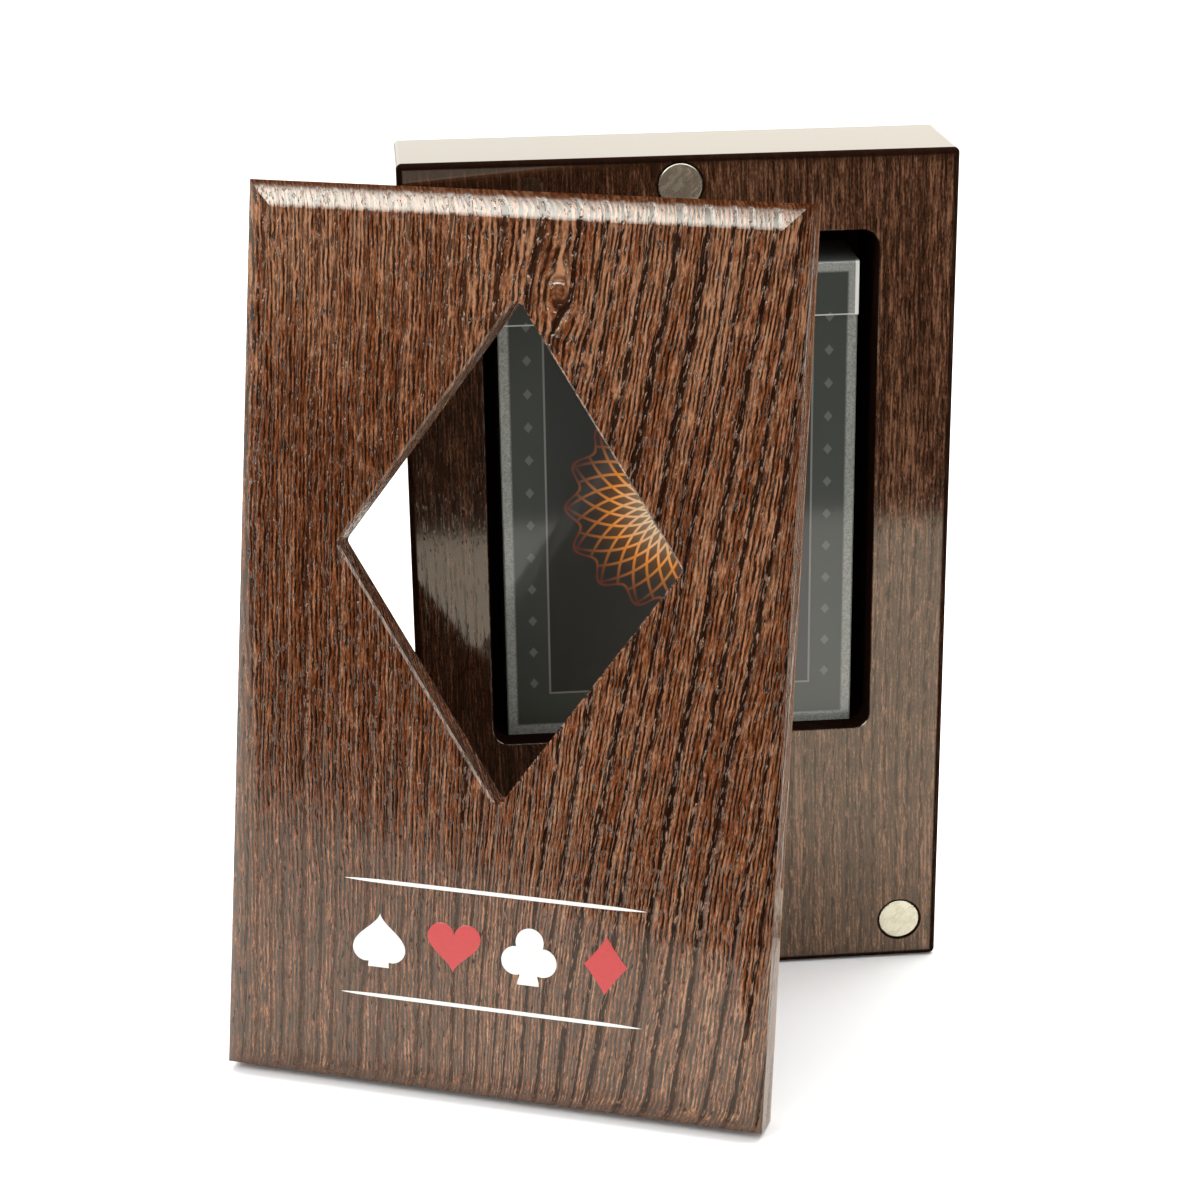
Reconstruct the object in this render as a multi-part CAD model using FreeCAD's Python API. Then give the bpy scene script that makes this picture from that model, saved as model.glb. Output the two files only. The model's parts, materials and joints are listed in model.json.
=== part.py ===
"""Wooden playing card case: a milled tray, a lift-off lid with a diamond window, and a boxed pack of cards.

Frame: millimetres, +Z up. The tray stands on its lower end. The origin is the middle of that end face,
+X runs across the tray to the right and +Y goes from its open face to its back.
The lid is shown taken off: it stands on its lower edge and leans on the tray's left front edge.
"""
import FreeCAD
import Part

import math
import os

from FreeCAD import Placement, Rotation, Vector

# Cards
card_width = 63.0
card_height = 88.0
card_thickness = 0.28
card_air = 0.005             # between neighbouring cards
card_corner_radius = 3.2
card_count = 54

# Carton
board = 0.45                 # thickness of the carton's board
carton_side_play = 0.95      # card edge to carton wall, each side
carton_end_play = 0.5        # card end to the dust flaps
carton_depth_play = 0.3      # spare depth for the pack of cards
carton_fold_radius = 0.4     # upright folds, outside
dust_flap_reach = 17.0
dust_flap_slit = 0.4         # dust flap to the front and back walls
flap_lip_height = 10.0       # the flap's front lip, down from the carton's top
flap_gap = 0.05              # flap to the walls under and behind it

# Tray
case_width = 100.0
case_height = 160.0
tray_edge_radius = 1.0
recess_floor = 3.0           # wood behind the carton
recess_side_play = 2.8       # carton to recess wall, each side
recess_finger_gap = 6.3      # above the carton, for a fingertip
recess_top_margin = 14.3     # wood above the recess
recess_corner_radius = 3.0
recess_arris = 0.3
carton_foot_gap = 0.1
carton_back_gap = 0.3
carton_sink = 3.6            # the carton's front below the tray's open face

# Magnets, alike in the tray and in the lid
magnet_diameter = 8.0
magnet_thickness = 3.0
magnet_rim = 0.3
magnet_glue_gap = 0.05       # round the magnet, in its pocket
magnet_sink = 0.1            # face of the magnet below the wood
magnet_top_inset = 5.2       # centre below the upper end
magnet_side_inset = 7.3      # centre in from the left or right side
magnet_foot_inset = 8.0      # centre above the lower end

# Lid
lid_thickness = 9.0
lid_round_width = 4.6        # shallow round-over of the front edges, across the front
lid_round_depth = 1.5        # and down the sides
lid_back_arris = 0.4
window_width = 62.6
window_height = 89.0
window_point_radius = 1.2
window_arris = 0.4
window_back_bevel = 4.0      # relieves the window from behind, so that its wall is shallower than the lid

# How the lid stands, off the tray
lid_turn = 21.0              # degrees about the vertical
lid_lean = 12.0              # degrees back from upright
lid_overhang = 25.0          # the lid's left side past the tray's edge that it leans on
lid_rest_gap = 0.3

# Sizes that follow from those above
card_pitch = card_thickness + card_air
pack_depth = card_count * card_pitch
carton_width = card_width + 2 * (carton_side_play + board)
sleeve_depth = pack_depth + carton_depth_play + 2 * board
sleeve_height = card_height + carton_end_play + 2 * board
carton_depth = sleeve_depth + flap_gap + board
carton_height = sleeve_height + flap_gap + board
tray_depth = carton_sink + carton_depth + carton_back_gap + recess_floor
tray_face = -tray_depth / 2
recess_depth = tray_depth - recess_floor
recess_width = carton_width + 2 * recess_side_play
recess_height = carton_foot_gap + carton_height + recess_finger_gap
recess_bottom = case_height - recess_top_margin - recess_height
carton_front = tray_face + carton_sink
sleeve_front = carton_front + board + flap_gap
carton_back = carton_front + carton_depth
carton_foot = recess_bottom + carton_foot_gap
carton_top = carton_foot + carton_height
window_middle = recess_bottom + recess_height / 2
magnet_pocket_depth = magnet_thickness + magnet_sink
magnet_spots = {
    "top": (0.0, case_height - magnet_top_inset),
    "left": (magnet_side_inset - case_width / 2, magnet_foot_inset),
    "right": (case_width / 2 - magnet_side_inset, magnet_foot_inset),
}
tolerance = 1e-4             # for picking edges by their place


def block(width, depth, height, front, foot):
    """Box centred on x = 0, with its front face at y = front and its foot at z = foot."""
    return Part.makeBox(width, depth, height, Vector(-width / 2, front, foot))


def rounded_outline(corners, radius):
    """Closed wire through the corners, each rounded by an arc tangent to both sides."""
    arcs = []
    for i, corner in enumerate(corners):
        to_last = (corners[i - 1] - corner).normalize()
        to_next = (corners[(i + 1) % len(corners)] - corner).normalize()
        half_angle = to_last.getAngle(to_next) / 2
        setback = radius / math.tan(half_angle)
        inward = (to_last + to_next).normalize()
        middle = corner + inward * (radius / math.sin(half_angle) - radius)
        arcs.append((corner + to_last * setback, middle, corner + to_next * setback))
    edges = []
    for i, (start, middle, end) in enumerate(arcs):
        edges.append(Part.Arc(start, middle, end).toShape())
        edges.append(Part.LineSegment(end, arcs[(i + 1) % len(arcs)][0]).toShape())
    return Part.Wire(edges)


def upright_rectangle(width, height, foot, y):
    """Corners in the plane at that y, centred on x = 0, anticlockwise from the lower left."""
    half, top = width / 2, foot + height
    return [Vector(-half, y, foot), Vector(half, y, foot), Vector(half, y, top), Vector(-half, y, top)]


def upright_diamond(width, height, middle, y):
    """Lowest, right, highest and left point in the plane at that y, centred on x = 0 and z = middle."""
    half, low, high = width / 2, middle - height / 2, middle + height / 2
    return [Vector(0, y, low), Vector(half, y, middle), Vector(0, y, high), Vector(-half, y, middle)]


def carried_back(outline, depth):
    """Solid from a closed upright outline, carried along +Y."""
    return Part.Face(outline).extrude(Vector(0, depth, 0))


def edges_in_plane(shape, y):
    """Edges that lie wholly in the plane at that y."""
    return [e for e in shape.Edges if max(abs(e.BoundBox.YMin - y), abs(e.BoundBox.YMax - y)) < tolerance]


def upright_edges(shape):
    """Straight edges that run along Z."""
    return [e for e in shape.Edges if e.BoundBox.XLength < tolerance and e.BoundBox.YLength < tolerance]


def bevel_rim(wood, outline, face, bevel):
    """Bevels the rim that an upright outline has left in the plane at y = face."""
    around = outline.translated(Vector(0, face - outline.BoundBox.YMin, 0)).BoundBox
    around.enlarge(tolerance)
    rim = [e for e in edges_in_plane(wood, face) if around.isInside(e.CenterOfMass)]
    return wood.makeChamfer(bevel, rim)


def cut_with_arris(wood, outline, depth, face, arris):
    """Cuts an outline into the wood from the plane at y = face, and breaks the edge that this leaves there."""
    return bevel_rim(wood.cut(carried_back(outline, depth)), outline, face, arris)


def magnet_pocket(x, z, inward):
    """Blind round hole in the joint face of the tray (inward +1) or of the lid (inward -1)."""
    radius = magnet_diameter / 2 + magnet_glue_gap
    return Part.makeCylinder(radius, magnet_pocket_depth, Vector(x, tray_face, z), Vector(0, inward, 0))


def make_magnet(x, z, inward):
    """Nickel-plated disc on the floor of its pocket, both rims rounded."""
    foot = Vector(x, tray_face + inward * magnet_sink, z)
    disc = Part.makeCylinder(magnet_diameter / 2, magnet_thickness, foot, Vector(0, inward, 0))
    rims = [e for e in disc.Edges if isinstance(e.Curve, Part.Circle)]
    return disc.makeFillet(magnet_rim, rims)


def make_tray():
    """Wood block with eased edges, milled for the carton, with three magnet pockets in its open face."""
    wood = block(case_width, tray_depth, case_height, tray_face, 0.0)
    wood = wood.makeFillet(tray_edge_radius, wood.Edges)
    mouth = upright_rectangle(recess_width, recess_height, recess_bottom, tray_face)
    outline = rounded_outline(mouth, recess_corner_radius)
    wood = cut_with_arris(wood, outline, recess_depth, tray_face, recess_arris)
    for x, z in magnet_spots.values():
        wood = wood.cut(magnet_pocket(x, z, 1))
    return wood


def ease_front(wood, front):
    """Takes a shallow arc off the lid's four front edges, tangent to its front."""
    radius = (lid_round_width ** 2 + lid_round_depth ** 2) / (2 * lid_round_depth)
    half_turn = math.asin(lid_round_width / radius) / 2
    clear = 1.0
    level, upright = (case_height / 2, case_width), (case_width / 2, case_height)
    for turn, (reach, length) in zip((0, 90, 180, 270), (level, upright, level, upright)):
        x, inner = -length / 2 - clear, reach - lid_round_width
        start, end = Vector(x, 0, inner), Vector(x, lid_round_depth, reach)
        middle = Vector(x, radius * (1 - math.cos(half_turn)), inner + radius * math.sin(half_turn))
        corners = [end, Vector(x, lid_round_depth, reach + clear), Vector(x, -clear, reach + clear),
                   Vector(x, -clear, inner), start]
        edges = [Part.Arc(start, middle, end).toShape()]
        edges += [Part.LineSegment(a, b).toShape() for a, b in zip(corners, corners[1:])]
        waste = Part.Face(Part.Wire(edges)).extrude(Vector(length + 2 * clear, 0, 0))
        waste.rotate(Vector(0, 0, 0), Vector(0, 1, 0), turn)
        waste.translate(Vector(0, front, case_height / 2))
        wood = wood.cut(waste)
    return wood


def make_lid():
    """Wood panel as it lies on the tray: rounded over in front, diamond window, pockets in its back."""
    front = tray_face - lid_thickness
    wood = block(case_width, lid_thickness, case_height, front, 0.0)
    wood = ease_front(wood, front)
    wood = wood.makeChamfer(lid_back_arris, edges_in_plane(wood, tray_face))
    diamond = upright_diamond(window_width, window_height, window_middle, front)
    outline = rounded_outline(diamond, window_point_radius)
    wood = cut_with_arris(wood, outline, lid_thickness, front, window_arris)
    wood = bevel_rim(wood, outline, tray_face, window_back_bevel)
    for x, z in magnet_spots.values():
        wood = wood.cut(magnet_pocket(x, z, -1))
    return wood


def lid_off():
    """Carries the lid from the tray's face to where it stands, leaning on the tray's left front edge.

    The lid stands on the lower corner of its broken back edge. The upper one comes within lid_rest_gap of the
    tray's rounded edge.
    """
    turn, lean = math.radians(lid_turn), math.radians(lid_lean)
    along = Vector(math.cos(turn), -math.sin(turn), 0)
    back = Vector(math.sin(turn), math.cos(turn), 0)
    tray_corner = Vector(-case_width / 2, tray_face, 0)
    edge_centre = tray_corner + Vector(tray_edge_radius, tray_edge_radius, 0)
    lid_reach = (case_height - lid_back_arris) * math.sin(lean)
    stand_off = tray_edge_radius + lid_rest_gap + lid_reach
    foot = edge_centre - along * lid_overhang - back * stand_off
    foot.z = -lid_back_arris * math.sin(lean)
    tilt = Rotation(Vector(0, 0, 1), -lid_turn).multiply(Rotation(Vector(1, 0, 0), -lid_lean))
    return Placement(foot, tilt).multiply(Placement(-tray_corner, Rotation()))


def make_card_box():
    """Carton of folded board: four walls, a closed foot, and two dust flaps over the cards."""
    outer = block(carton_width, sleeve_depth, sleeve_height, sleeve_front, carton_foot)
    outer = outer.makeFillet(carton_fold_radius, upright_edges(outer))
    inner_width, inner_depth = carton_width - 2 * board, sleeve_depth - 2 * board
    inner_front, inner_foot = sleeve_front + board, carton_foot + board
    room = block(inner_width, inner_depth, sleeve_height - 2 * board, inner_front, inner_foot)
    mouth = block(inner_width - 2 * dust_flap_reach, inner_depth, sleeve_height, inner_front, inner_foot)
    front_slit = block(inner_width, dust_flap_slit, sleeve_height, inner_front, inner_foot)
    back_slit = front_slit.translated(Vector(0, inner_depth - dust_flap_slit, 0))
    return outer.cut(room).cut(mouth).cut(front_slit).cut(back_slit)


def make_card_box_flap():
    """Closing flap: a half-round crease at the back, the top panel, a folded front edge and the lip."""
    half = board / 2
    crease_y, lip_foot = carton_back - half, carton_top - flap_lip_height
    x = -carton_width / 2
    fold = carton_front + board
    diagonal = board * math.sqrt(0.5)
    corner = Vector(x, fold, carton_top - board)
    points = {
        "crease_over": Vector(x, crease_y, carton_top),
        "crease_back": Vector(x, carton_back, carton_top - half),
        "crease_under": Vector(x, crease_y, carton_top - board),
        "lip_inner_foot": Vector(x, fold, lip_foot),
        "lip_outer_foot": Vector(x, carton_front, lip_foot),
        "fold_front": Vector(x, carton_front, carton_top - board),
        "fold_middle": Vector(x, fold - diagonal, carton_top - board + diagonal),
        "fold_over": Vector(x, fold, carton_top),
    }
    edges = [
        Part.Arc(points["crease_over"], points["crease_back"], points["crease_under"]).toShape(),
        Part.LineSegment(points["crease_under"], corner).toShape(),
        Part.LineSegment(corner, points["lip_inner_foot"]).toShape(),
        Part.LineSegment(points["lip_inner_foot"], points["lip_outer_foot"]).toShape(),
        Part.LineSegment(points["lip_outer_foot"], points["fold_front"]).toShape(),
        Part.Arc(points["fold_front"], points["fold_middle"], points["fold_over"]).toShape(),
        Part.LineSegment(points["fold_over"], points["crease_over"]).toShape(),
    ]
    return Part.Face(Part.Wire(edges)).extrude(Vector(carton_width, 0, 0))


def make_cards():
    """The pack: separate cards face to back, standing on the carton's foot against its back wall."""
    foot = carton_foot + board
    pack_back = carton_back - board
    cards = []
    for i in range(card_count):
        face = upright_rectangle(card_width, card_height, foot, pack_back - (i + 1) * card_pitch)
        cards.append(carried_back(rounded_outline(face, card_corner_radius), card_thickness))
    return Part.makeCompound(cards)


def make_nodes():
    """Every piece by name, where it is at rest."""
    nodes = {
        "tray": make_tray(),
        "card_box": make_card_box(),
        "card_box_flap": make_card_box_flap(),
        "cards": make_cards(),
    }
    standing = lid_off()
    lid_pieces = {"lid": make_lid()}
    for spot, (x, z) in magnet_spots.items():
        nodes["tray_magnet_" + spot] = make_magnet(x, z, 1)
        lid_pieces["lid_magnet_" + spot] = make_magnet(x, z, -1)
    for name, shape in lid_pieces.items():
        shape.Placement = standing.multiply(shape.Placement)
        nodes[name] = shape
    return nodes


def main():
    os.makedirs("parts", exist_ok=True)
    for name, shape in make_nodes().items():
        shape.exportStep(os.path.join("parts", name + ".step"))
        box = shape.BoundBox
        low = f"({box.XMin:.2f}, {box.YMin:.2f}, {box.ZMin:.2f})"
        high = f"({box.XMax:.2f}, {box.YMax:.2f}, {box.ZMax:.2f})"
        print(f"{name}: {len(shape.Solids)} solids, {shape.Volume:.1f} mm3, from {low} to {high}")


main()
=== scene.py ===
import json
import math

import bpy
import numpy as np
from mathutils import Matrix, Vector


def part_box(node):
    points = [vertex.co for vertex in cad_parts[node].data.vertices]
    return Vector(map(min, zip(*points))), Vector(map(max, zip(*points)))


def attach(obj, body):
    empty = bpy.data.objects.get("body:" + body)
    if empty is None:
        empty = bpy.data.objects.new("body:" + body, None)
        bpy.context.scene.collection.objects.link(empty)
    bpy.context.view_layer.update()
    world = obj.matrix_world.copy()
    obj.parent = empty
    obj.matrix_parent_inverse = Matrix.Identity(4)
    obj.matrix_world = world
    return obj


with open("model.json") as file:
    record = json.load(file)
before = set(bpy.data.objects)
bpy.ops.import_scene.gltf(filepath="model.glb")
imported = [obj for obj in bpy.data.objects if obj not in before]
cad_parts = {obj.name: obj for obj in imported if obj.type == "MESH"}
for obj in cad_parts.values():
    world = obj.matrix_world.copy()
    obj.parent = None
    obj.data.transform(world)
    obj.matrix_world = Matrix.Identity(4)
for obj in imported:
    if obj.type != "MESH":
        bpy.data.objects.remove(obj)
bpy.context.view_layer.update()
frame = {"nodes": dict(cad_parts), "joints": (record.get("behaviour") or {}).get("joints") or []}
nodes = frame["nodes"]
scene = bpy.context.scene
mm = 0.001
print("frame loaded:", ", ".join(sorted(nodes)))


# Node helpers

class Field:
    # A shader value that takes plain arithmetic: each operator adds one Math node to the tree.
    def __init__(self, tree, socket):
        self.tree = tree
        self.socket = socket

    def calc(self, operation, *terms):
        node = self.tree.nodes.new("ShaderNodeMath")
        node.operation = operation
        for slot, term in zip(node.inputs, (self, *terms)):
            feed(self.tree, slot, term)
        return Field(self.tree, node.outputs[0])

    def __add__(self, other):
        return self.calc("ADD", other)

    def __sub__(self, other):
        return self.calc("SUBTRACT", other)

    def __mul__(self, other):
        return self.calc("MULTIPLY", other)

    def __truediv__(self, other):
        return self.calc("DIVIDE", other)

    def __neg__(self):
        return self.calc("MULTIPLY", -1.0)

    __radd__ = __add__
    __rmul__ = __mul__

    def __rsub__(self, other):
        return -self + other

    def __rtruediv__(self, other):
        return self.calc("POWER", -1.0) * other

    def step(self, low, high):
        # Smooth rise from 0 at low to 1 at high.
        node = self.tree.nodes.new("ShaderNodeMapRange")
        node.interpolation_type = "SMOOTHSTEP"
        for slot, term in zip(node.inputs, (self, low, high)):
            feed(self.tree, slot, term)
        return Field(self.tree, node.outputs[0])

    def line(self, middle, halfWidth, soft):
        # 1 within halfWidth of the middle value, falling to 0 over the soft margin.
        return 1.0 - (self - middle).calc("ABSOLUTE").step(halfWidth, halfWidth + soft)


def feed(tree, slot, value):
    # Links a field or a socket to the slot, or sets a plain value on it.
    if isinstance(value, Field):
        value = value.socket
    if isinstance(value, bpy.types.NodeSocket):
        tree.links.new(value, slot)
    else:
        slot.default_value = value


def addNode(tree, kind, values, **settings):
    node = tree.nodes.new(kind)
    for name, value in settings.items():
        setattr(node, name, value)
    for key, value in values.items():
        feed(tree, node.inputs[key], value)
    return node


def noiseField(tree, x, y, z, detail=2.0, roughness=0.5):
    # 3-D noise from 0 to 1 at the point (x, y, z), one cell per unit.
    point = addNode(tree, "ShaderNodeCombineXYZ", {0: x, 1: y, 2: z})
    cloud = addNode(tree, "ShaderNodeTexNoise", {"Vector": point.outputs[0], "Scale": 1.0, "Detail": detail,
                                                 "Roughness": roughness})
    return Field(tree, cloud.outputs[0])


def mixColours(tree, amount, first, second):
    # The first colour where amount is 0, the second where it is 1.
    node = addNode(tree, "ShaderNodeMix", {0: amount, 6: first, 7: second}, data_type="RGBA")
    return node.outputs[2]


def toneRamp(tree, amount, stops):
    # Colour along a list of (place, colour) stops.
    node = tree.nodes.new("ShaderNodeValToRGB")
    ramp = node.color_ramp
    while len(ramp.elements) < len(stops):
        ramp.elements.new(0.5)
    for element, (place, colour) in zip(ramp.elements, stops):
        element.position = place
        element.color = colour
    feed(tree, node.inputs[0], amount)
    return node.outputs[0]


def newMaterial(name):
    material = bpy.data.materials.new(name)
    material.use_nodes = True
    tree = material.node_tree
    return material, tree, tree.nodes["Principled BSDF"]


def localMillimetres(tree, corner, turned=(0.0, 0.0, 0.0)):
    # Object coordinates counted in millimetres from a corner, along axes that are turned by these angles.
    place = addNode(tree, "ShaderNodeTexCoord", {})
    mapped = addNode(tree, "ShaderNodeMapping", {
        "Vector": place.outputs["Object"], "Location": corner, "Rotation": turned, "Scale": (mm, mm, mm),
    }, vector_type="TEXTURE")
    parts = addNode(tree, "ShaderNodeSeparateXYZ", {0: mapped.outputs[0]})
    return [Field(tree, socket) for socket in parts.outputs]


def bumpNormal(tree, height, depth):
    # Normal over a height field, where a height of 1 stands for this depth in millimetres.
    bump = addNode(tree, "ShaderNodeBump", {"Height": height, "Strength": 1.0, "Distance": depth * mm})
    return bump.outputs[0]


def dress(names, material):
    for name in names:
        slots = nodes[name].data.materials
        slots.clear()
        slots.append(material)


# Where the lid stands: its joint's axis is square to its front, which gives the lean and the turn

lidOutward = Vector(next(j["axis"] for j in frame["joints"] if j["child"] == "lid")).normalized()
lidLean = math.asin(lidOutward.z)
lidTurn = math.atan2(-lidOutward.x, -lidOutward.y)
lidAxes = Matrix.Rotation(-lidTurn, 3, "Z") @ Matrix.Rotation(-lidLean, 3, "X")


def nodePoints(name):
    flat = np.empty(len(nodes[name].data.vertices) * 3, np.float32)
    nodes[name].data.vertices.foreach_get("co", flat)
    return flat.reshape(-1, 3).astype(float)


lidLocal = nodePoints("lid") @ np.array(lidAxes)
lidLow, lidHigh = lidLocal.min(0), lidLocal.max(0)
lidSize = lidHigh - lidLow
lidCorner = lidAxes @ Vector((lidLow[0], lidLow[1], lidLow[2]))   # lower left corner of its front face
trayLow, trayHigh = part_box("tray")
boxLow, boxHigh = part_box("card_box")
flapLow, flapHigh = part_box("card_box_flap")


# Wood: stained ring-porous grain under lacquer

trayWood = {
    "ringStep": 2.0, "ringGrowth": 0.004, "earlyShare": 0.22, "earlyLeft": 0.8,
    "lean": 0.0, "leanFrom": 30.0, "leanTo": 60.0, "wander": 2.5, "wiggle": 0.2,
    "knot": (200.0, 80.0), "knotReach": 1.0,     # off the piece, so that no knot shows
    "poreCut": (0.40, 0.54), "poreLength": 3.4, "poreDepth": 0.012, "poreMix": 0.75, "poreBare": 0.25,
    "lineStep": 0.80, "lineAmount": 0.80, "leftTone": -0.27, "lowTone": 0.0, "highTone": 0.0,
    "arris": 1.0, "backPaintedHighlight": 0.0,
    "dark": (0.020, 0.008, 0.004, 1), "middle": (0.068, 0.027, 0.013, 1), "light": (0.230, 0.108, 0.060, 1),
    "pore": (0.007, 0.003, 0.002, 1),
    "glossTint": (1.0, 0.88, 0.72, 1), "glossIor": 1.71, "glossRoughness": 0.07,
}
lidWood = {
    "ringStep": 2.6, "ringGrowth": 0.024, "earlyShare": 0.16, "earlyLeft": 0.7,
    "lean": 7.5, "leanFrom": 36.0, "leanTo": 72.0, "wander": 5.0, "wiggle": 0.45,
    "knot": (57.5, 143.5), "knotReach": 2.1,
    "poreCut": (0.33, 0.47), "poreLength": 2.4, "poreDepth": 0.17, "poreMix": 0.95, "poreBare": 0.50,
    "lineStep": 0.78, "lineAmount": 0.96, "leftTone": -0.14, "lowTone": -0.06, "highTone": 0.24,
    "arris": 0.0, "backPaintedHighlight": 0.7,
    "dark": (0.048, 0.012, 0.003, 1), "middle": (0.142, 0.044, 0.016, 1), "light": (0.335, 0.166, 0.090, 1),
    "pore": (0.006, 0.002, 0.001, 1),
    "glossTint": (1.0, 0.92, 0.80, 1), "glossIor": 1.65, "glossRoughness": 0.06,
}
# Noises in both woods, in cells per millimetre across the grain and along it
grainCells = {
    "wander": (1 / 38, 1 / 95), "wiggle": (1 / 3, 1 / 2.2), "ripple": (1 / 2.2, 1 / 8),
    "unequal": (1 / 7, 1 / 400), "broken": (1.1, 0.24), "fibre": (2.6, 0.20),
    "band": (0.5, 0.025), "fleck": (1.2, 0.25), "grit": (4.5, 1.3),
}
# Other values that both woods share, with places and reaches in millimetres
bothWoods = {
    "depthSlope": 0.9, "leanLevel": 80.0, "knotStretch": 1.8, "knotPart": 0.75,
    "knotHeart": (0.65, 0.97), "knotStain": (0.50, 0.80), "knotRings": 30.0, "knotRipple": 3.0,
    "ringSpread": 1.6, "ringRipple": 0.22, "earlyFade": 0.14, "earlyRight": (25.0, 62.0),
    "poresAcross": 2.3, "strayCut": (0.60, 0.68), "strayMix": 0.9,
    "lineSlant": 0.03, "lineRipple": 10.0, "lineCut": (0.18, 0.75), "brokenCut": (0.32, 0.54),
    "fleckSlant": 1 / 12, "rightPart": (20.0, 62.0), "lowPart": (20.0, 70.0), "highPart": (112.0, 150.0),
    "baseTone": 0.55, "fibreTone": 1.3, "bandTone": 0.9, "fleckTone": 0.6, "gritTone": 0.9, "highRight": 0.6,
    "endReach": (0.5, 2.8), "endStain": 0.75, "bandReach": (4.0, 6.0), "bandFilled": 0.7,
    "arrisReach": (0.9, 1.3), "arrisMix": 0.8, "paintedHighlightReach": (0.8, 1.6),
    "gapHalf": 0.28, "gapSoft": 0.15, "gapMix": 0.9, "hollowMix": 0.95,
    "fibreRelief": 0.03, "lineRelief": 0.10, "backSmooth": 0.75, "bandSmooth": 0.6,
}


def magnetPockets(prefix, axes, low):
    # For each magnet in a piece: its middle across and up the piece, its radius, and the depths of its faces.
    pockets = []
    for name in sorted(n for n in nodes if n.startswith(prefix + "_magnet")):
        local = (nodePoints(name) @ np.array(axes) - np.array(low)) / mm
        near, far = local.min(0), local.max(0)
        middle = (near + far) / 2
        pockets.append((middle[0], middle[2], (far[0] - near[0]) / 2, near[1], far[1]))
    return pockets


def grainNoise(tree, pattern, across, depth, along, detail=2.0, roughness=0.5, shift=0.0):
    # Noise drawn out along the grain; the shift keeps two patterns apart.
    perAcross, perAlong = grainCells[pattern]
    place = (across * perAcross + shift, depth * perAcross, along * perAlong)
    return noiseField(tree, *place, detail, roughness)


def grainPlace(tree, wood, x, y, z):
    # Place across the grain: g = x + slope * y + wander, less the lean on the right, parted round a knot as a
    # stream round a post. Nearness to the knot is r^2 / (d^2 + r^2) at a distance d, 1 at its heart.
    g = x + y * bothWoods["depthSlope"] + (grainNoise(tree, "wander", x, y, z) - 0.5) * wood["wander"]
    slant = math.tan(math.radians(wood["lean"]))
    g = g - x.step(wood["leanFrom"], wood["leanTo"]) * (z - bothWoods["leanLevel"]) * slant
    knotX, knotZ = wood["knot"]
    aside, above = x - knotX, (z - knotZ) / bothWoods["knotStretch"]
    reach = wood["knotReach"] ** 2
    nearness = reach / (aside * aside + above * above + reach)
    g = g - aside * nearness * bothWoods["knotPart"]
    return g + (grainNoise(tree, "wiggle", x, y, z) - 0.5) * wood["wiggle"], nearness


def grainPores(tree, wood, g, x, y, z, ripple):
    # Rings are g on a scale that widens to the right, unequally. Open vessels fill the start of each ring,
    # with a few strays anywhere, and broken fine lines fill the rest of it.
    growth = wood["ringGrowth"]
    stretched = (g * (growth / wood["ringStep"]) + 1).calc("LOGARITHM", math.e) / growth
    unequal = (grainNoise(tree, "unequal", g, 0.0, z, 1.0) - 0.5) * bothWoods["ringSpread"]
    ring = (stretched + unequal + ripple * bothWoods["ringRipple"]).calc("FRACT")
    early = 1.0 - ring.step(wood["earlyShare"], wood["earlyShare"] + bothWoods["earlyFade"])
    early = early * (x.step(*bothWoods["earlyRight"]) * (1 - wood["earlyLeft"]) + wood["earlyLeft"])
    perAcross = bothWoods["poresAcross"]
    cell = noiseField(tree, g * perAcross, y * perAcross, z / wood["poreLength"])
    stray = cell.step(*bothWoods["strayCut"]) * bothWoods["strayMix"]
    vessel = (cell.step(*wood["poreCut"]) * early).calc("MAXIMUM", stray)
    phase = (g + z * bothWoods["lineSlant"]) * (2 * math.pi / wood["lineStep"])
    wave = (phase + ripple * bothWoods["lineRipple"]).calc("SINE") * 0.5 + 0.5
    broken = grainNoise(tree, "broken", g, y, z, shift=40.0).step(*bothWoods["brokenCut"])
    return vessel, wave.step(*bothWoods["lineCut"]) * broken * (1.0 - early)


def grainColour(tree, wood, g, x, y, z, fibre):
    # Light and dark from four noises, with slow changes towards the left, the foot and the top.
    band = grainNoise(tree, "band", g, y, z, shift=9.0)
    fleck = grainNoise(tree, "fleck", g + z * bothWoods["fleckSlant"], y, z)
    grit = grainNoise(tree, "grit", g, y, z)
    tone = (fibre - 0.5) * bothWoods["fibreTone"] + (band - 0.5) * bothWoods["bandTone"]
    tone = tone + (fleck - 0.5) * bothWoods["fleckTone"] + (grit - 0.5) * bothWoods["gritTone"]
    tone = tone + bothWoods["baseTone"]
    right = x.step(*bothWoods["rightPart"])
    tone = tone + (1.0 - right) * wood["leftTone"] + (1.0 - z.step(*bothWoods["lowPart"])) * wood["lowTone"]
    highLeft = (1.0 - right * bothWoods["highRight"]) * z.step(*bothWoods["highPart"])
    tone = tone + highLeft * wood["highTone"]
    return toneRamp(tree, tone, [(0.15, wood["dark"]), (0.5, wood["middle"]), (0.85, wood["light"])])


def magnetGapShade(x, y, z, pocket):
    # 1 in a thin ring of painted shade at the magnet's edge, from just before its near face to just behind
    # its far one.
    middleX, middleZ, radius, front, back = pocket
    across, up = x - middleX, z - middleZ
    ring = (across * across + up * up).calc("SQRT").line(radius, bothWoods["gapHalf"], bothWoods["gapSoft"])
    return ring * y.step(front - 0.6, front - 0.4) * (1.0 - y.step(back + 0.2, back + 0.4))


def insideHollow(x, y, z, hollow, depth):
    # 1 on the walls of a hollow given as two corners, from just behind the front face to short of the back.
    low, high = hollow
    beside = (x - low[0]).calc("MINIMUM", high[0] - x)
    within = beside.calc("MINIMUM", (z - low[2]).calc("MINIMUM", high[2] - z))
    return within.step(-0.4, -0.3) * y.step(0.04, 0.16) * (1.0 - y.step(depth - 2.0, depth - 1.5))


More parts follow.
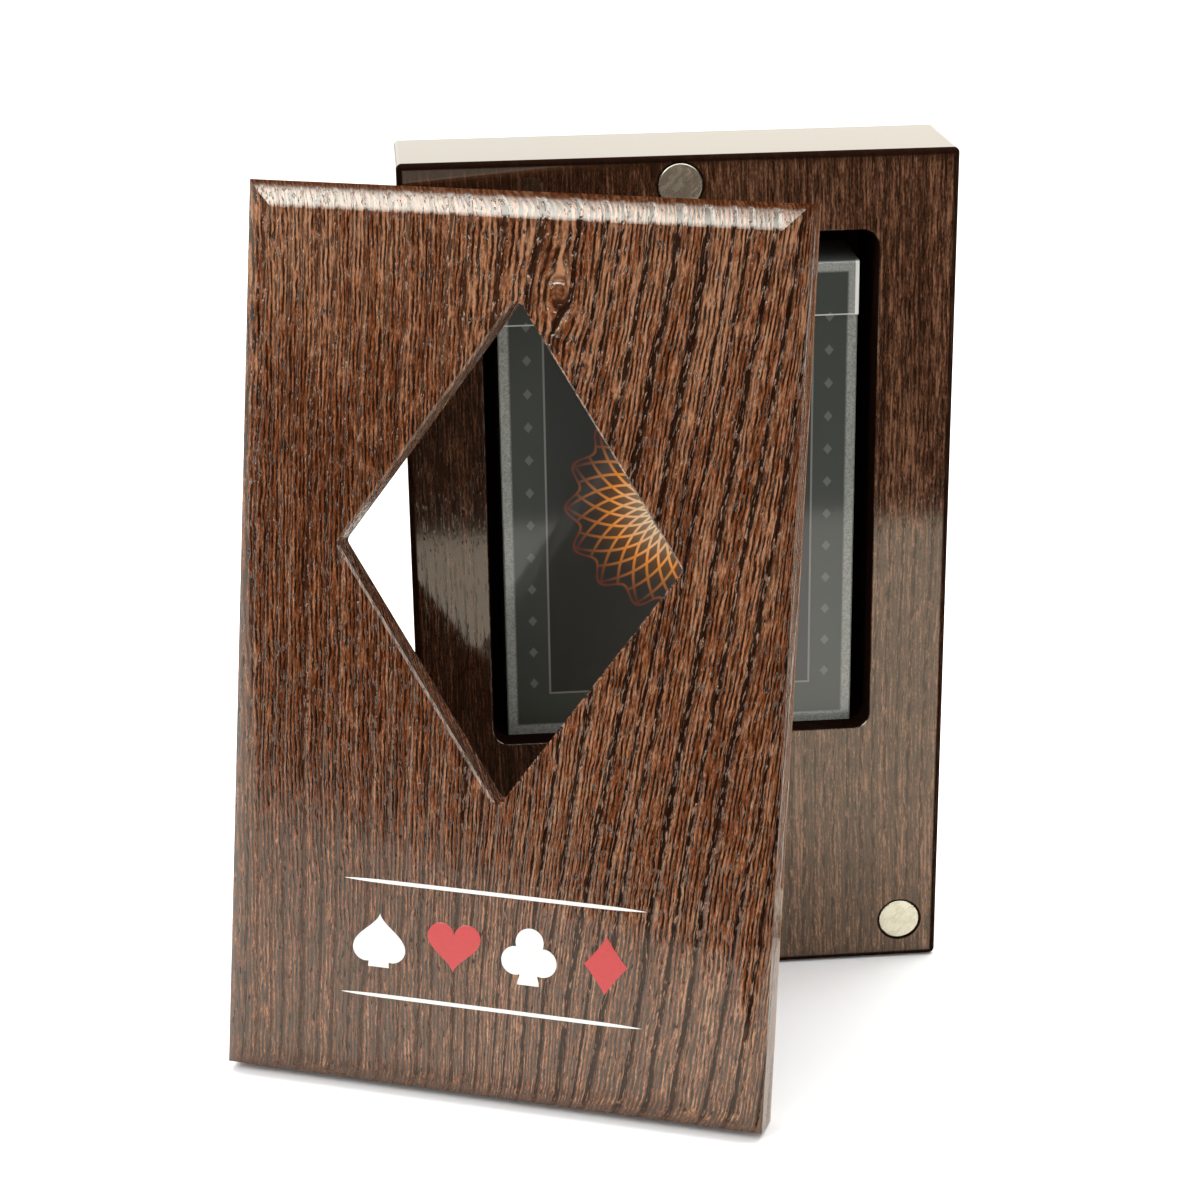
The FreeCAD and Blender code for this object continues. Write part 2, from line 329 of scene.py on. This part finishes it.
def makeWood(name, wood, size, corner, pockets, turned=(0.0, 0.0, 0.0), hollow=None):
    # One warm gloss over the grain. The end grain takes more stain, the front arrises may be dark with
    # painted shade and bare, the back ones pale with a painted highlight, the gap round each magnet dark with
    # painted shade, and a hollow is dark and bare inside.
    material, tree, shader = newMaterial(name)
    x, y, z = localMillimetres(tree, corner, turned)
    width, depth, height = (length / mm for length in size)
    g, nearness = grainPlace(tree, wood, x, y, z)
    ripple = grainNoise(tree, "ripple", g, y, z) - 0.5
    fibre = grainNoise(tree, "fibre", g, y, z, roughness=0.6)
    vessel, line = grainPores(tree, wood, g, x, y, z, ripple)
    clear = 1.0 - nearness.step(*bothWoods["knotHeart"])      # the knot's heart is closed
    vessel = vessel * clear
    pore = vessel.calc("MAXIMUM", line * wood["lineAmount"])
    colour = grainColour(tree, wood, g, x, y, z, fibre)
    colour = mixColours(tree, pore * wood["poreMix"], colour, wood["pore"])
    turns = nearness * bothWoods["knotRings"] + ripple * bothWoods["knotRipple"]
    swirl = (turns.calc("SINE") * 0.5 + 0.5) * 0.6 + 0.1
    colour = mixColours(tree, nearness.step(*bothWoods["knotStain"]) * swirl, colour, wood["dark"])
    endNear, endFar = bothWoods["endReach"]
    ends = z.step(height - endFar, height - endNear) + (1.0 - z.step(endNear, endFar))
    colour = mixColours(tree, ends * bothWoods["endStain"], colour, wood["dark"])
    rim = x.calc("MINIMUM", width - x).calc("MINIMUM", z.calc("MINIMUM", height - z))
    # Painted shade: the front arrises are painted dark and left without gloss (on the tray only).
    arris = (1.0 - (rim + y).step(*bothWoods["arrisReach"])) * wood["arris"]
    colour = mixColours(tree, arris * bothWoods["arrisMix"], colour, wood["pore"])
    # Painted highlight: the back arrises are painted pale, as if they caught the light (on the lid only).
    wearAndPaintedHighlight = (1.0 - (rim - y + depth).step(*bothWoods["paintedHighlightReach"])) * wood["backPaintedHighlight"]
    colour = mixColours(tree, wearAndPaintedHighlight, colour, wood["light"])
    bandNear, bandFar = bothWoods["bandReach"]
    topBand = z.step(height - bandFar, height - bandNear)
    bare = arris.calc("MAXIMUM", vessel * (1.0 - topBand * bothWoods["bandFilled"]) * wood["poreBare"])
    for pocket in pockets:
        # Painted shade: a dark ring painted in the gap round each magnet.
        gapShade = magnetGapShade(x, y, z, pocket)
        colour = mixColours(tree, gapShade * bothWoods["gapMix"], colour, wood["pore"])
        bare = bare.calc("MAXIMUM", gapShade)
    if hollow:
        inside = insideHollow(x, y, z, hollow, depth)
        colour = mixColours(tree, inside * bothWoods["hollowMix"], colour, wood["pore"])
        bare = bare.calc("MAXIMUM", inside)
    smooth = ends.calc("MAXIMUM", y.step(0.4 * depth, 0.8 * depth) * bothWoods["backSmooth"])
    smooth = smooth.calc("MAXIMUM", topBand * bothWoods["bandSmooth"])
    relief = fibre * bothWoods["fibreRelief"] - vessel - line * clear * bothWoods["lineRelief"]
    feed(tree, shader.inputs["Base Color"], colour)
    feed(tree, shader.inputs["Roughness"], fibre * 0.02 + (wood["glossRoughness"] - 0.01))
    feed(tree, shader.inputs["Normal"], bumpNormal(tree, relief * (1.0 - smooth), wood["poreDepth"]))
    feed(tree, shader.inputs["Specular IOR Level"], (1.0 - bare) * 0.5)
    shader.inputs["Specular Tint"].default_value = wood["glossTint"]
    shader.inputs["IOR"].default_value = wood["glossIor"]
    return material


recessRoom = {"beside": 2.8, "below": 0.1, "fingerGap": 6.2}     # millimetres round and above the carton
cardGap = Vector((recessRoom["beside"], 0.0, recessRoom["below"]))
fingerGap = Vector((0.0, 0.0, recessRoom["fingerGap"]))
recess = [(boxLow - trayLow) / mm - cardGap, (flapHigh - trayLow) / mm + cardGap + fingerGap]
trayPockets = magnetPockets("tray", Matrix.Identity(3), trayLow)
lidPockets = magnetPockets("lid", lidAxes, lidLow)
dress(["tray"], makeWood("trayWood", trayWood, trayHigh - trayLow, trayLow, trayPockets, hollow=recess))
dress(["lid"], makeWood("lidWood", lidWood, lidSize, lidCorner, lidPockets, (-lidLean, 0.0, -lidTurn)))
print("wood finished")


# Magnets: nickel plate with faint handling marks

nickelPlate = {
    "colour": (0.65, 0.625, 0.505, 1), "dull": (0.56, 0.535, 0.43, 1),
    "metal": 0.86, "roughness": 0.15, "dullRoughness": 0.16, "speckDepth": 0.006,
}


def makeNickel(plate):
    # Cloudy tarnish from broad noise, rubbed streaks, and a fine orange-peel grain in the plating.
    material, tree, shader = newMaterial("magnetNickel")
    x, y, z = localMillimetres(tree, (0.0, 0.0, 0.0))
    scratch = noiseField(tree, (x + z) * 0.3, y * 0.3, (z - x) * 1.1, 1.0).step(0.52, 0.62)
    cloud = noiseField(tree, x * 0.7, y * 0.7, z * 0.7, 3.0).step(0.35, 0.75).calc("MAXIMUM", scratch)
    grain = noiseField(tree, x * 3, y * 3, z * 3, 1.0)
    feed(tree, shader.inputs["Base Color"], mixColours(tree, cloud, plate["colour"], plate["dull"]))
    feed(tree, shader.inputs["Roughness"], cloud * plate["dullRoughness"] + plate["roughness"])
    feed(tree, shader.inputs["Normal"], bumpNormal(tree, grain, plate["speckDepth"]))
    shader.inputs["Metallic"].default_value = plate["metal"]
    return material


dress([name for name in nodes if "magnet" in name], makeNickel(nickelPlate))
print("magnets finished")


# Carton: charcoal board under gloss varnish, printed with a bordered rosette

cartonPrint = {
    "ground": (0.010, 0.012, 0.010, 1), "strip": (0.026, 0.032, 0.025, 1), "edge": (0.300, 0.312, 0.285, 1),
    "rule": (0.16, 0.16, 0.145, 1), "heart": (1.0, 0.88, 0.62, 1), "flame": (0.95, 0.33, 0.04, 1),
    "ember": (0.16, 0.025, 0.006, 1), "board": (0.80, 0.80, 0.76, 1),
    "edgeWidth": 1.9, "stripWidth": 8.2, "ruleHalf": 0.14, "faceDepth": 0.55,
    "lozengePitch": 6.3, "lozengeInset": 5.2, "lozengeHalf": 0.75, "lozengeMix": 0.55,
    "rosetteRadius": 20.0, "petals": 16.0, "spiralPitch": 5.2, "scallopDepth": 1.2, "rimHalf": 0.2,
    "speckDepth": 0.010, "varnish": 0.9, "varnishRoughness": 0.07,
}


def makeCarton(name, design, rawEdges):
    # Charcoal, with a paler strip round the face that holds rows of lozenges at the sides, and a rosette in
    # the middle: the lace of two opposed spiral families sin(n * angle + k * r) and sin(n * angle - k * r)
    # over a glow, inside scallops. Where edges are raw, the bare board shows at the sides, on the lip's right
    # margin and along its worn foot.
    material, tree, shader = newMaterial(name)
    middle = ((boxLow.x + boxHigh.x) / 2, flapLow.y, (boxLow.z + flapHigh.z) / 2)
    halfWidth, halfHeight = (boxHigh.x - boxLow.x) / 2 / mm, (flapHigh.z - boxLow.z) / 2 / mm
    x, y, z = localMillimetres(tree, middle)
    inset = (halfWidth - x.calc("ABSOLUTE")).calc("MINIMUM", halfHeight - z.calc("ABSOLUTE"))
    onFace = 1.0 - y.step(design["faceDepth"], design["faceDepth"] + 0.05)
    speck = noiseField(tree, x * 3.2, y * 3.2, z * 3.2, 2.0)
    strip = 1.0 - inset.step(design["stripWidth"] - 0.1, design["stripWidth"] + 0.1)
    edge = (1.0 - inset.step(design["edgeWidth"] - 0.3, design["edgeWidth"] + 0.3)) * (speck * 1.6)
    rule = inset.line(design["stripWidth"], design["ruleHalf"], 0.08)
    pitch = design["lozengePitch"]
    stepZ = (z / pitch).calc("FRACT") - 0.5
    upright = (halfHeight - z.calc("ABSOLUTE")).step(design["stripWidth"] - 0.1, design["stripWidth"] + 0.1)
    lozenge = (stepZ * pitch).calc("ABSOLUTE") * 0.8 + (inset - design["lozengeInset"]).calc("ABSOLUTE")
    lozenge = lozenge.line(0.0, design["lozengeHalf"], 0.15) * upright
    radius = (x * x + z * z).calc("SQRT")
    angle = z.calc("ARCTAN2", x)
    twist = radius * (math.pi / design["spiralPitch"])
    spiralA = (angle * design["petals"] + twist).calc("SINE").calc("ABSOLUTE")
    spiralB = (angle * design["petals"] - twist).calc("SINE").calc("ABSOLUTE")
    glow = (1.0 - radius / design["rosetteRadius"]).calc("MAXIMUM", 0.0)
    thin = glow * 0.30 + 0.10
    lace = 1.0 - spiralA.calc("MINIMUM", spiralB).step(thin, thin + 0.25)
    scallop = (angle * design["petals"]).calc("COSINE") * design["scallopDepth"] + design["rosetteRadius"]
    within = 1.0 - radius.step(scallop - 0.15, scallop + 0.15)
    rim = (radius - scallop).line(0.0, design["rimHalf"], 0.12)
    rosette = (lace * within * (glow * 0.9 + 0.5) + glow * glow * 0.8).calc("MAXIMUM", rim * 0.7)
    rosette = rosette.calc("MINIMUM", 1.0) * onFace
    warm = toneRamp(tree, glow, [(0.0, design["ember"]), (0.38, design["flame"]), (0.80, design["heart"])])
    colour = mixColours(tree, strip, design["ground"], design["strip"])
    colour = mixColours(tree, edge.calc("MINIMUM", 1.0), colour, design["edge"])
    lines = rule.calc("MAXIMUM", lozenge * design["lozengeMix"]) * onFace
    colour = mixColours(tree, lines, colour, design["rule"])
    colour = mixColours(tree, rosette, colour, warm)
    if rawEdges:
        cut = x.step(halfWidth - 0.75, halfWidth - 0.60) * onFace
        cut = cut.calc("MAXIMUM", x.calc("ABSOLUTE").step(halfWidth - 0.06, halfWidth - 0.03))
        wearAndPaintedHighlight = (z + halfHeight).line((flapLow.z - boxLow.z) / mm + 0.1, 0.10, 0.08) * onFace * 0.6
        colour = mixColours(tree, cut.calc("MAXIMUM", wearAndPaintedHighlight), colour, design["board"])
    feed(tree, shader.inputs["Base Color"], colour)
    feed(tree, shader.inputs["Normal"], bumpNormal(tree, speck, design["speckDepth"]))
    feed(tree, shader.inputs["Roughness"], speck * 0.2 + 0.34)
    shader.inputs["Coat Weight"].default_value = design["varnish"]
    shader.inputs["Coat Roughness"].default_value = design["varnishRoughness"]
    return material


cardStock = {"white": (0.86, 0.85, 0.81, 1), "shade": (0.74, 0.73, 0.69, 1), "roughness": 0.5}


def makeCardPaper(stock):
    # Off-white stock with faint fibre mottling.
    material, tree, shader = newMaterial("cardPaper")
    x, y, z = localMillimetres(tree, (0.0, 0.0, 0.0))
    mottle = noiseField(tree, x * 1.4, y * 12, z * 1.4, 2.0)
    feed(tree, shader.inputs["Base Color"], mixColours(tree, mottle, stock["white"], stock["shade"]))
    shader.inputs["Roughness"].default_value = stock["roughness"]
    return material


dress(["card_box"], makeCarton("cartonPrint", cartonPrint, rawEdges=False))
dress(["card_box_flap"], makeCarton("cartonFlapPrint", cartonPrint, rawEdges=True))
dress(["cards"], makeCardPaper(cardStock))
print("carton and cards finished")


# Suit pips printed on the lid's lower front

pipRow = {"height": 10.5, "pitch": 14.0, "middleUp": 27.0, "film": 0.05, "lift": 0.01, "ruleLength": 56.0,
          "ruleGap": 10.5, "ruleWidth": 0.7, "white": (0.70, 0.70, 0.68, 1), "red": (0.42, 0.014, 0.016, 1)}
pipAngles = np.linspace(0.0, 2 * np.pi, 192, endpoint=False)


def discReach(centreX, centreY, radius):
    # Far crossing of each ray from the origin with a disc, 0 where the ray misses it.
    along = centreX * np.cos(pipAngles) + centreY * np.sin(pipAngles)
    spare = radius ** 2 - (centreX ** 2 + centreY ** 2 - along ** 2)
    return np.where(spare > 0, along + np.sqrt(np.maximum(spare, 0)), 0).clip(0)


def wedgeReach(foot, halfFoot, halfTop):
    # Reach of each ray inside a stem that widens downwards from the origin to the foot.
    down = -np.sin(pipAngles)
    side = np.abs(np.cos(pipAngles))
    toFoot = np.where(down > 1e-6, foot / np.maximum(down, 1e-6), 0)
    toSide = halfTop / np.maximum(side - down * (halfFoot - halfTop) / foot, 1e-6)
    inside = side * foot <= halfFoot * down
    return np.where(inside, toFoot, np.where(down > 0, np.minimum(toSide, toFoot), 0))


def heartReach(flip):
    # Heart curve x = 16 sin^3 t, y = 13 cos t - 5 cos 2t - 2 cos 3t - cos 4t, read as reach by angle.
    t = np.linspace(0.0, 2 * np.pi, 721)
    hx = 16 * np.sin(t) ** 3 / 34
    hy = flip * ((13 * np.cos(t) - 5 * np.cos(2 * t) - 2 * np.cos(3 * t) - np.cos(4 * t)) + 2.0) / 34
    angle = np.mod(np.arctan2(hy, hx), 2 * np.pi)
    order = np.argsort(angle)
    return np.interp(pipAngles, angle[order], np.hypot(hx, hy)[order], period=2 * np.pi)


def diamondReach():
    # Slightly hollow-sided diamond |x / a|^p + |y / b|^p = 1.
    halfWide, halfTall, power = 0.38, 0.5, 0.92
    wide = (np.abs(np.cos(pipAngles)) / halfWide) ** power
    tall = (np.abs(np.sin(pipAngles)) / halfTall) ** power
    return (wide + tall) ** (-1 / power)


def clubReach():
    # Three discs round the middle, joined by a small one, on a stem.
    lobe, aside, below = 0.245, 0.24, -0.09
    lobes = [discReach(0.0, aside, lobe), discReach(-aside, below, lobe), discReach(aside, below, lobe)]
    return np.maximum.reduce(lobes + [wedgeReach(0.5, 0.2, 0.06), np.full_like(pipAngles, 0.1)])


def spadeReach():
    # The heart upside down, on a stem.
    return np.maximum(heartReach(-1.0), wedgeReach(0.5, 0.2, 0.05))


def onLid(across, depth, up):
    # Points in the shared frame from places on the lid: across from its left side, out of its front face and
    # up from its foot.
    local = np.stack([lidLow[0] + across, lidLow[1] - depth, lidLow[2] + up], -1)
    return local @ np.array(lidAxes).T


def gridMesh(name, points, material):
    # Mesh from a rows x columns grid of points whose columns close into a ring.
    rows, columns = points.shape[:2]
    index = np.arange(rows * columns).reshape(rows, columns)
    after = np.roll(index, -1, axis=1)
    quads = np.stack([index[:-1], index[1:], after[1:], after[:-1]], -1).reshape(-1, 4)
    mesh = bpy.data.meshes.new(name)
    mesh.from_pydata(points.reshape(-1, 3), [], quads.tolist())
    mesh.materials.append(material)
    mesh.validate()
    piece = bpy.data.objects.new(name, mesh)
    scene.collection.objects.link(piece)
    return piece


def filmPiece(name, outlineX, outlineY, material):
    # Thin printed film: the outline drawn in towards its middle on top, and dropped to the wood at its rim.
    middleX, middleY = outlineX.mean(), outlineY.mean()
    share = np.array([0.001, 0.35, 0.7, 0.985, 1.0, 0.999, 0.001])[:, None]
    depth = np.array([1, 1, 1, 1, 0.7, 0, 0])[:, None] * pipRow["film"] + pipRow["lift"]
    across = middleX + (outlineX - middleX) * share
    up = middleY + (outlineY - middleY) * share
    points = onLid(across * mm, np.broadcast_to(depth, across.shape) * mm, up * mm)
    piece = gridMesh(name, points, material)
    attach(piece, "lid")


def makeInk(name, colour):
    # Screen-print ink: slight mottle in the colour, satin, with a fine grain.
    material, tree, shader = newMaterial(name)
    x, y, z = localMillimetres(tree, (0.0, 0.0, 0.0))
    mottle = noiseField(tree, x * 2.5, y * 2.5, z * 2.5, 3.0)
    wearAndPaintedHighlight = tuple(0.82 * c for c in colour[:3]) + (1,)
    feed(tree, shader.inputs["Base Color"], mixColours(tree, mottle.step(0.45, 0.8), colour, wearAndPaintedHighlight))
    feed(tree, shader.inputs["Roughness"], mottle * 0.2 + 0.22)
    shader.inputs["Coat Weight"].default_value = 0.6
    shader.inputs["Coat Roughness"].default_value = 0.08
    return material


whiteInk = makeInk("pipWhite", pipRow["white"])
redInk = makeInk("pipRed", pipRow["red"])
lidMiddle = lidSize[0] / 2 / mm
suits = [("spade", spadeReach(), whiteInk), ("heart", heartReach(1.0), redInk),
         ("club", clubReach(), whiteInk), ("diamond", diamondReach(), redInk)]
for place, (suit, reach, ink) in enumerate(suits):
    outlineX = lidMiddle + (place - 1.5) * pipRow["pitch"] + reach * np.cos(pipAngles) * pipRow["height"]
    outlineY = pipRow["middleUp"] + reach * np.sin(pipAngles) * pipRow["height"]
    filmPiece("pip_" + suit, outlineX, outlineY, ink)
for side, shift in (("upper", pipRow["ruleGap"]), ("lower", -pipRow["ruleGap"])):
    # Rule with pointed ends: half width w * (1 - |s|^8) along its length
    s = np.cos(pipAngles)
    halfWidth = np.sign(np.sin(pipAngles)) * (1 - s ** 8) * pipRow["ruleWidth"] / 2
    outlineX = lidMiddle + s * pipRow["ruleLength"] / 2
    outlineY = pipRow["middleUp"] + shift + halfWidth
    filmPiece("rule_" + side, outlineX, outlineY, whiteInk)
print("pips printed")


# Floor, light and camera

studio = {
    "floorEdge": [(-2.0, -1.88), (-0.06, -0.28), (2.0, -0.28), (2.0, 2.0), (-2.0, 2.0)],
    "floorDrop": 0.0002, "floorSeen": (0.94, 0.938, 0.93, 1), "floorColour": (0.945, 0.905, 0.835, 1),
    "roomDark": 0.018, "fillLevel": 0.90,
    "wallBright": 1.95, "wallColour": (1.0, 0.975, 0.88, 1),
    "wallAway": (-0.25, 0.45), "wallFoot": (-0.20, 0.10), "wallHead": (0.45, 0.65),
    "windowBright": 14.0, "windowColour": (0.88, 0.96, 1.0, 1),
    "windowNear": (0.05, 0.35), "windowFoot": (0.24, 0.48), "windowHead": (0.86, 0.94),
    "windowLeft": (0.36, 0.60), "windowRight": 0.3,
    "lamps": [("overheadSoft", (0.10, 0.25, 1.00), (-0.02, -0.02, 0.06), (1.3, 0.7), 16.0),
              ("leftSoft", (-0.95, -0.45, 1.00), (-0.02, -0.02, 0.08), (0.7, 0.7), 9.0)],
}


def makeFloor():
    # Flat sheet bounded by the listed corners, just under the object: neutral to the camera, a little warmer
    # to every other ray.
    corners = np.array([(x, y, -studio["floorDrop"]) for x, y in studio["floorEdge"]])
    mesh = bpy.data.meshes.new("floor")
    mesh.from_pydata(corners, [], [list(range(len(corners)))])
    material, tree, shader = newMaterial("floorPaper")
    x, y, z = localMillimetres(tree, (0.0, 0.0, 0.0))
    tooth = noiseField(tree, x / 2, y / 2, z, 2.0)
    rays = addNode(tree, "ShaderNodeLightPath", {})
    colour = mixColours(tree, rays.outputs["Is Camera Ray"], studio["floorColour"], studio["floorSeen"])
    feed(tree, shader.inputs["Base Color"], mixColours(tree, tooth * 0.02, colour, (0.5, 0.5, 0.5, 1)))
    shader.inputs["Roughness"].default_value = 0.6
    mesh.materials.append(material)
    floor = bpy.data.objects.new("floor", mesh)
    scene.collection.objects.link(floor)


def makeWorld():
    # White to the camera, an even fill to matt surfaces, and to gloss a dim room with a bright wall behind
    # and a high, cooler window in front, brightest at the left.
    world = bpy.data.worlds.new("studio")
    scene.world = world
    world.use_nodes = True
    tree = world.node_tree
    direction = addNode(tree, "ShaderNodeTexCoord", {})
    parts = addNode(tree, "ShaderNodeSeparateXYZ", {0: direction.outputs["Generated"]})
    right, away, high = (Field(tree, socket) for socket in parts.outputs)
    wall = away.step(*studio["wallAway"]) * high.step(*studio["wallFoot"])
    wall = wall * (1.0 - high.step(*studio["wallHead"]))
    window = (-away).step(*studio["windowNear"]) * high.step(*studio["windowFoot"])
    window = window * (1.0 - high.step(*studio["windowHead"]))
    least = studio["windowRight"]
    window = window * ((-right).step(*studio["windowLeft"]) * (1 - least) + least)
    mirrored = wall * studio["wallBright"] + window * studio["windowBright"] + studio["roomDark"]
    rays = addNode(tree, "ShaderNodeLightPath", {})
    seen = Field(tree, rays.outputs["Is Camera Ray"])
    gloss = Field(tree, rays.outputs["Is Glossy Ray"])
    level = gloss * mirrored + (1.0 - gloss) * studio["fillLevel"]
    background = tree.nodes["Background"]
    tint = mixColours(tree, window.step(0.0, 0.1), studio["wallColour"], studio["windowColour"])
    feed(tree, background.inputs["Color"], mixColours(tree, gloss, (1, 1, 1, 1), tint))
    feed(tree, background.inputs["Strength"], seen + (1.0 - seen) * level)


def makeLamps():
    # Soft rectangles, each turned from its place towards its target.
    for name, place, target, size, power in studio["lamps"]:
        lamp = bpy.data.lights.new(name, "AREA")
        lamp.shape = "RECTANGLE"
        lamp.size, lamp.size_y = size
        lamp.energy = power
        holder = bpy.data.objects.new(name, lamp)
        holder.location = place
        holder.rotation_euler = (Vector(target) - Vector(place)).to_track_quat("-Z", "Y").to_euler()
        holder.visible_glossy = False     # gloss sees the window and the wall instead
        scene.collection.objects.link(holder)


# Place in millimetres and angles in degrees
photoView = {"place": (-55.05, -480.87, 251.28), "turn": -4.841, "pitch": 20.263, "roll": -0.831,
             "focalPixels": 2698.6, "framePixels": 1200, "sensor": 36.0}


def makeCamera():
    # Camera turned about the vertical, pitched down and rolled, with the focal length of the fitted view.
    lens = bpy.data.cameras.new("photoCamera")
    lens.sensor_width = photoView["sensor"]
    lens.lens = photoView["focalPixels"] * photoView["sensor"] / photoView["framePixels"]
    lens.clip_start, lens.clip_end = 0.01, 20.0
    camera = bpy.data.objects.new("photoCamera", lens)
    turn = Matrix.Rotation(math.radians(photoView["turn"]), 4, "Z")
    pitch = Matrix.Rotation(math.radians(90 - photoView["pitch"]), 4, "X")
    roll = Matrix.Rotation(math.radians(photoView["roll"]), 4, "Z")
    camera.matrix_world = Matrix.Translation(Vector(photoView["place"]) * mm) @ turn @ pitch @ roll
    scene.collection.objects.link(camera)
    scene.camera = camera


makeFloor()
makeWorld()
makeLamps()
makeCamera()
scene.view_settings.view_transform = "Standard"
print("studio set")
